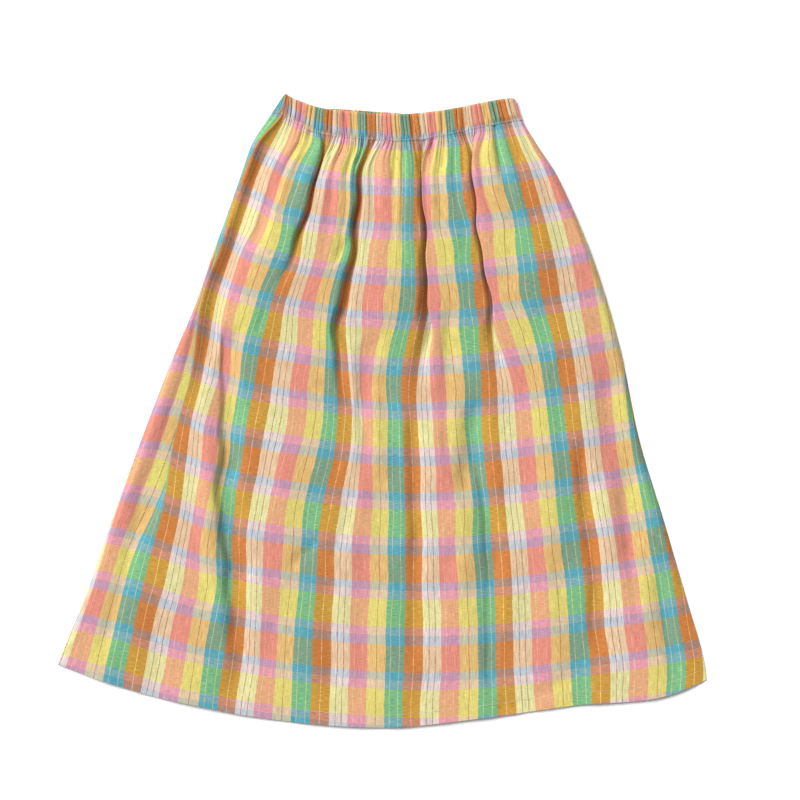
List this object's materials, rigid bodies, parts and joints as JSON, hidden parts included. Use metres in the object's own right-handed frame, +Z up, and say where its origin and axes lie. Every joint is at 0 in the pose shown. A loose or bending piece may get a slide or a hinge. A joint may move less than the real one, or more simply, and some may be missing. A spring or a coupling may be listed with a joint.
{
  "type": "midi skirt",
  "caption": "A-line midi skirt in a woven check, gathered into an elastic waist casing, laid flat on its back panel.",
  "frame": {"origin": "on the surface under the middle of the skirt's outline", "axes": "+X across the skirt, +Y towards the waist, +Z up from the surface that it lies on"},
  "size_m": [0.8822, 0.8638, 0.0237],
  "materials": {
    "checked_cotton": "matt plain-weave cotton, yarn-dyed in a five-stripe check",
    "casing_cotton": "the same cotton, gathered tightly over a hidden elastic"
  },
  "bodies": {
    "root": {"front_panel": "checked_cotton", "back_panel": "checked_cotton", "front_casing": "casing_cotton", "back_casing": "casing_cotton"}
  },
  "joints": []
}
